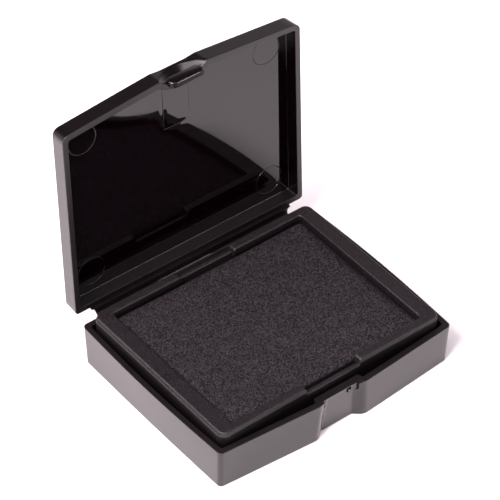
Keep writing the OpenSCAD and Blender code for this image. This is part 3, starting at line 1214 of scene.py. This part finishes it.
class Tree:
    """A Geometry Nodes tree under construction, with named inputs."""

    def __init__(self, name):
        self.group = bpy.data.node_groups.new(name, "GeometryNodeTree")
        for way in ("INPUT", "OUTPUT"):
            self.group.interface.new_socket("Geometry", in_out=way,
                                            socket_type="NodeSocketGeometry")
        self.entry = self.group.nodes.new("NodeGroupInput")
        self.exit = self.group.nodes.new("NodeGroupOutput")
        self.sockets = {}

    def value(self, name, kind="NodeSocketFloat"):
        """A named input, as the socket that gives it inside the tree."""
        item = self.group.interface.new_socket(name, in_out="INPUT", socket_type=kind)
        self.sockets[name] = item.identifier
        return self.entry.outputs[name]

    def node(self, kind, settings=None, inputs=None):
        return add_node(self.group, kind, settings, inputs)

    def finish(self, geometry, material):
        """Ends the tree with real geometry in one material."""
        real = self.node("GeometryNodeRealizeInstances", inputs={"Geometry": geometry})
        coated = self.node("GeometryNodeSetMaterial",
                           inputs={"Geometry": real.outputs[0], "Material": material})
        self.group.links.new(coated.outputs[0], self.exit.inputs[0])

    def run(self, piece, name, **values):
        """Runs the tree on a piece and returns the plain mesh that it makes."""
        modifier = piece.modifiers.new("build", "NODES")
        modifier.node_group = self.group
        for key, value in values.items():
            modifier[self.sockets[key.replace("_", " ")]] = value
        return realised(piece, name)


def ridge_tree(material):
    """Fine raised lines along the edges of a mesh."""
    tree = Tree("raised_lines")
    width, height = tree.value("Line width"), tree.value("Line height")
    curve = tree.node("GeometryNodeMeshToCurve", inputs={"Mesh": tree.entry.outputs["Geometry"]})
    circle = tree.node("GeometryNodeCurvePrimitiveCircle", inputs={"Resolution": 8, "Radius": 0.5})
    size = tree.node("ShaderNodeCombineXYZ", inputs={"X": width, "Y": height, "Z": 1.0})
    profile = tree.node("GeometryNodeTransform", inputs={
        "Geometry": circle.outputs["Curve"], "Scale": size.outputs[0]})
    swept = tree.node("GeometryNodeCurveToMesh", inputs={
        "Curve": curve.outputs[0], "Profile Curve": profile.outputs[0], "Fill Caps": True})
    tree.finish(swept.outputs[0], material)
    return tree


def grain_tree(material):
    """Small grains scattered over a surface."""
    tree = Tree("scattered_grains")
    density, size = tree.value("Density"), tree.value("Grain size")
    seed = tree.value("Seed", "NodeSocketInt")
    points = tree.node("GeometryNodeDistributePointsOnFaces", inputs={
        "Mesh": tree.entry.outputs["Geometry"], "Density": density, "Seed": seed})
    grain = tree.node("GeometryNodeMeshIcoSphere", inputs={"Radius": size, "Subdivisions": 1})
    # Sockets 0 and 1 are the least and the most of a vector, 2 and 3 those of a number.
    turn = tree.node("FunctionNodeRandomValue", {"data_type": "FLOAT_VECTOR"},
                     {0: (0.0, 0.0, 0.0), 1: (6.28, 6.28, 6.28), "Seed": seed})
    scale = tree.node("FunctionNodeRandomValue", {"data_type": "FLOAT"},
                      {2: 0.5, 3: 1.25, "Seed": seed})
    spread = tree.node("GeometryNodeInstanceOnPoints", inputs={
        "Points": points.outputs["Points"], "Instance": grain.outputs["Mesh"],
        "Rotation": turn.outputs[0], "Scale": scale.outputs[1]})
    tree.finish(spread.outputs[0], material)
    return tree


def ring_edges(x, y, z, radius, steps=48):
    """Points and edges of a circle on a level plane."""
    turns = np.linspace(0, math.tau, steps, endpoint=False)
    points = np.stack([x + radius * np.cos(turns), y + radius * np.sin(turns),
                       np.full(steps, z)], 1)
    return points, [(i, (i + 1) % steps) for i in range(steps)]


def lid_marks(case):
    """The four ejector rings and the witness lines of an insert of the mould, inside the lid."""
    size = lid_sizes()
    z = size.top - case.skin - 0.01
    points, edges = [], []

    def add(more, links):
        start = len(points)
        points.extend(more)
        edges.extend((a + start, b + start) for a, b in links)

    for side in (-1, 1):
        for y in (-case.mark_front, case.mark_back):
            add(*ring_edges(side * case.mark_side, y, z, case.mark))
    front = size.front - case.lid_prow + case.front_wall + 3.0
    w, back = case.witness, -case.witness_back
    corners = [(-w, front, z), (-w, back, z), (w, back, z), (w, front, z)]
    add(corners, [(0, 1), (1, 2), (2, 3)])
    lines = new_object("marks", points, [], edges)
    tree = ridge_tree(material("lid_polished"))
    marks = turned_open(tree.run(lines, "lid_marks", Line_width=LINE_WIDTH * MM,
                                 Line_height=LINE_HEIGHT * MM))
    marks.data.shade_smooth()
    return marks


def pad_grains(insert, pad):
    """Grains of dried ink and foam on the pad's top."""
    top = cad_box("foam_pad")[1][2]
    shape = bmesh.new()
    shape.from_mesh(pad.data)
    low = [f for f in shape.faces if f.calc_center_median().z < (top - 0.5) * MM]
    bmesh.ops.delete(shape, geom=low, context="FACES")
    area = sum(f.calc_area() for f in shape.faces)
    mesh = bpy.data.meshes.new("skin")
    shape.to_mesh(mesh)
    shape.free()
    tree = grain_tree(material("inked_foam"))
    return tree.run(placed("skin", mesh), "pad_grains", Density=insert.grains / area,
                    Grain_size=insert.grain * MM / 2, Seed=7)


# ---------------------------------------------------------------- the stage

FLOOR_REACH = 3.0
LOW_SKY, HIGH_SKY = 0.05, 0.6    # heights between which the room goes from pale to dim
PALE_SKY = (1.0, 0.9, 0.94, 1.0)
DIM_SKY = (0.1, 0.085, 0.095, 1.0)
# Each light's name, place, the point that it looks at, its side and its tint, in metres.
LAMPS = [
    ("key", (-0.7, -0.2, 0.85), (0.0, 0.0, 0.02), 0.45, (1.0, 0.88, 0.93)),
    ("top", (-0.18, -0.32, 1.15), (0.0, 0.0, 0.0), 0.85, (1.0, 0.89, 0.95)),
    ("side", (-0.5, 0.3, 0.5), (-0.13, 0.08, 0.0), 0.3, (1.0, 0.9, 0.94)),
    ("glint", (0.55, -0.8, 0.7), (0.0, 0.0, 0.02), 0.2, (1.0, 0.92, 0.95)),
]


def floor_sheet(reach):
    """A plain floor that reaches far past the view."""
    sheet = new_object("studio_floor", np.array([
        (-reach, -reach, 0), (reach, -reach, 0), (reach, reach, 0), (-reach, reach, 0),
    ]) / MM, [(0, 1, 2, 3)])
    sheet.data.materials.append(material("pale_floor"))
    return sheet


def softbox(name, place, target, side, tint, watts):
    """A square area light that looks at a point."""
    lamp = bpy.data.lights.new(name, "AREA")
    lamp.shape = "RECTANGLE"
    lamp.size = lamp.size_y = side
    lamp.energy = watts
    lamp.color = tint
    box = placed(name, lamp)
    aim = Vector(target) - Vector(place)
    box.matrix_world = Matrix.Translation(place) @ aim.to_track_quat("-Z", "Y").to_matrix().to_4x4()
    return box


def room_light(strength):
    """A soft room: pale near the horizon, dim overhead."""
    world = bpy.data.worlds.new("soft_room")
    world.use_nodes = True
    bpy.context.scene.world = world
    tree = world.node_tree
    place = add_node(tree, "ShaderNodeTexCoord")
    split = add_node(tree, "ShaderNodeSeparateXYZ", inputs={0: place.outputs["Generated"]})
    height = add_node(tree, "ShaderNodeMapRange", {"interpolation_type": "SMOOTHSTEP"}, {
        "Value": split.outputs["Z"], "From Min": LOW_SKY, "From Max": HIGH_SKY})
    sky = tree.nodes["Background"].inputs
    feed(tree, sky["Color"], mixed(tree, height.outputs[0], PALE_SKY, DIM_SKY))
    feed(tree, sky["Strength"], strength)


def place_camera(stage):
    """A long lens, turned about the vertical and tilted down, as far off as the setting says."""
    turn, tilt = stage.turn, stage.tilt
    ahead = Vector((-math.sin(turn) * math.cos(tilt), math.cos(turn) * math.cos(tilt),
                    -math.sin(tilt)))
    right = Vector((math.cos(turn), math.sin(turn), 0.0))
    up = right.cross(ahead)
    data = bpy.data.cameras.new("camera")
    data.sensor_width = 36.0
    data.lens = stage.lens
    camera = placed("camera", data)
    place = -ahead * stage.away - right * stage.aside + up * stage.above
    stance = Matrix((right, up, -ahead)).transposed() @ Matrix.Rotation(stage.roll, 3, "Z")
    camera.matrix_world = Matrix.Translation(place) @ stance.to_4x4()
    bpy.context.scene.camera = camera


# ---------------------------------------------------------------- the add-on

def settle(piece, body, slot, *nodes):
    """Gives a finished piece its body and hides the CAD nodes that it stands for; slot is not used.
    """
    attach(piece, body)
    if nodes:
        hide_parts(*nodes)
    return piece


def coat_node(node, finish):
    """Gives a CAD node that stays its finish."""
    slots = frame["nodes"][node].data.materials
    slots.clear()
    slots.append(material(finish))


class INKPAD_OT_base(bpy.types.Operator):
    """Build the case's base and coat the ribs under the insert"""

    bl_idname = "ink_pad.base"
    bl_label = "Base"

    def execute(self, context):
        case = in_mm(context.scene.ink_pad_case)
        settle(base_shell(case), "base", "case_plastic", "case_base")
        coat_node("insert_ribs", "case_inside")
        return {"FINISHED"}


class INKPAD_OT_lid(bpy.types.Operator):
    """Build the case's lid and the fine marks inside it"""

    bl_idname = "ink_pad.lid"
    bl_label = "Lid"

    def execute(self, context):
        case = in_mm(context.scene.ink_pad_case)
        settle(lid_shell(case), "lid", "lid_plastic", "case_lid")
        settle(lid_marks(case), "lid", "lid_plastic")
        return {"FINISHED"}


class INKPAD_OT_latch(bpy.types.Operator):
    """Build the tab across the lid's thumb scoop"""

    bl_idname = "ink_pad.latch"
    bl_label = "Latch"

    def execute(self, context):
        case = in_mm(context.scene.ink_pad_case)
        settle(latch_tab(case), "lid", "lid_plastic", "lid_latch_bar")
        return {"FINISHED"}


class INKPAD_OT_hinge(bpy.types.Operator):
    """Build the hinge: a leaf on each shell and the web between them"""

    bl_idname = "ink_pad.hinge"
    bl_label = "Hinge"

    def execute(self, context):
        case = in_mm(context.scene.ink_pad_case)
        for name, node, rim_z, body, slot in (
                ("base_leaf", "base_hinge_leaf", None, "base", "case_plastic"),
                ("lid_leaf", "lid_hinge_leaf", lid_sizes().rim, "lid", "lid_plastic")):
            piece = finish_mesh(leaf(name, node, case, rim_z))
            settle(paint(piece, "hinge_satin"), body, slot, node)
        web, start, end = hinge_web(case)
        paint(finish_mesh(web), "hinge_satin")
        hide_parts("hinge_film")
        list(start * MM)
        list(end * MM)
        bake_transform(web)
        return {"FINISHED"}


class INKPAD_OT_insert(bpy.types.Operator):
    """Build the frame round the pad and coat its tray"""

    bl_idname = "ink_pad.insert"
    bl_label = "Insert"

    def execute(self, context):
        insert = in_mm(context.scene.ink_pad_insert)
        settle(insert_rim(insert), "base", "insert_plastic", "insert_frame")
        coat_node("insert_tray", "inked_felt")
        return {"FINISHED"}


class INKPAD_OT_pad(bpy.types.Operator):
    """Build the inked pad, the felt below it and the grains on its top"""

    bl_idname = "ink_pad.pad"
    bl_label = "Pad"

    def execute(self, context):
        insert = in_mm(context.scene.ink_pad_insert)
        pad = soft_block("pad_sheet", "foam_pad", insert.pad_voxel, insert.pad_swell)
        # The pad's side faces take the dark felt finish: painted shade along its sides.
        repaint(paint(pad, "inked_foam"), "inked_felt", lambda face: face.normal.z < 0.5)
        settle(pad, "base", "pad_foam", "foam_pad")
        felt = soft_block("felt_block", "ink_felt", insert.felt_voxel, insert.pad_swell)
        settle(paint(felt, "inked_felt"), "base", "felt", "ink_felt")
        settle(pad_grains(insert, pad), "base", "pad_foam")
        return {"FINISHED"}


class INKPAD_OT_stage(bpy.types.Operator):
    """Set up the floor, the soft lights and the camera"""

    bl_idname = "ink_pad.stage"
    bl_label = "Stage"

    def execute(self, context):
        stage = context.scene.ink_pad_stage
        context.scene.view_settings.view_transform = "Standard"
        floor_sheet(FLOOR_REACH)
        for name, *lamp in LAMPS:
            softbox(name, *lamp, getattr(stage, name))
        room_light(stage.room)
        place_camera(stage)
        return {"FINISHED"}


class INKPAD_PT_panel(bpy.types.Panel):
    """Lists the pieces of the ink pad and its settings"""

    bl_label = "Ink Pad"
    bl_idname = "INKPAD_PT_panel"
    bl_space_type = "VIEW_3D"
    bl_region_type = "UI"
    bl_category = "Ink Pad"

    def draw(self, context):
        column = self.layout.column(align=True)
        for step in STEPS:
            column.operator(step.bl_idname)
        for group in (context.scene.ink_pad_case, context.scene.ink_pad_insert,
                      context.scene.ink_pad_finish, context.scene.ink_pad_stage):
            box = self.layout.box()
            for key in group.bl_rna.properties.keys():
                if key not in ("rna_type", "name"):
                    box.prop(group, key)


STEPS = (INKPAD_OT_base, INKPAD_OT_lid, INKPAD_OT_latch, INKPAD_OT_hinge, INKPAD_OT_insert,
         INKPAD_OT_pad, INKPAD_OT_stage)
GROUPS = {"ink_pad_case": InkPadCase, "ink_pad_insert": InkPadInsert,
          "ink_pad_finish": InkPadFinish, "ink_pad_stage": InkPadStage}


def register():
    for kind in (*GROUPS.values(), *STEPS, INKPAD_PT_panel):
        bpy.utils.register_class(kind)
    for name, kind in GROUPS.items():
        setattr(bpy.types.Scene, name, PointerProperty(type=kind))


def unregister():
    for name in GROUPS:
        delattr(bpy.types.Scene, name)
    for kind in reversed((*GROUPS.values(), *STEPS, INKPAD_PT_panel)):
        bpy.utils.unregister_class(kind)


def main():
    register()
    for step in STEPS:
        getattr(bpy.ops.ink_pad, step.bl_idname.split(".")[1])()


if __name__ == "__main__":
    main()
